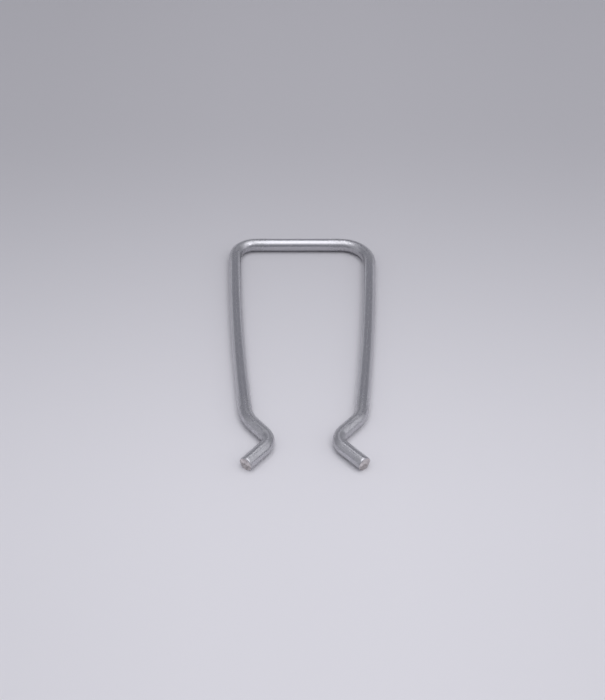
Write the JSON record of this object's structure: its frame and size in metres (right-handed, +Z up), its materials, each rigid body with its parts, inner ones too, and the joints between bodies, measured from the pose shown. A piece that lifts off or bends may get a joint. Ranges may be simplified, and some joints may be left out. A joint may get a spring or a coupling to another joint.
{
  "type": "wire spring clip",
  "caption": "Flat open clip bent from one round wire: back bar, two long legs that spring, an inward jog and throat on each leg, and short turned-out tips with square-cut ends.",
  "frame": {"origin": "under the middle of the clip's box, on the surface that it lies on", "axes": "+Y from the tips to the back bar, +X to the right as seen from above with the back bar far, +Z up out of the clip's plane"},
  "size_m": [0.0348, 0.0778, 0.003],
  "materials": {
    "wire": "satin, bright drawn and thinly plated"
  },
  "bodies": {
    "back": {"back_bar": "wire", "left_corner": "wire", "right_corner": "wire"},
    "left_limb": {"left_leg": "wire", "left_knee": "wire", "left_jog": "wire", "left_throat": "wire", "left_tip": "wire"},
    "right_limb": {"right_leg": "wire", "right_knee": "wire", "right_jog": "wire", "right_throat": "wire", "right_tip": "wire"}
  },
  "joints": [
    {"name": "left_leg_flex", "type": "hinge", "parent": "back", "child": "left_limb", "pos_m": [-0.0159, 0.03255, 0.0015], "axis": [0, 0, 1], "range_deg": [-6, 5], "stiffness_Nm_per_rad": 21, "deforming": ["left_corner"]},
    {"name": "right_leg_flex", "type": "hinge", "parent": "back", "child": "right_limb", "pos_m": [0.0159, 0.03029, 0.0015], "axis": [0, 0, -1], "range_deg": [-6, 5], "stiffness_Nm_per_rad": 21, "deforming": ["right_corner"]}
  ]
}
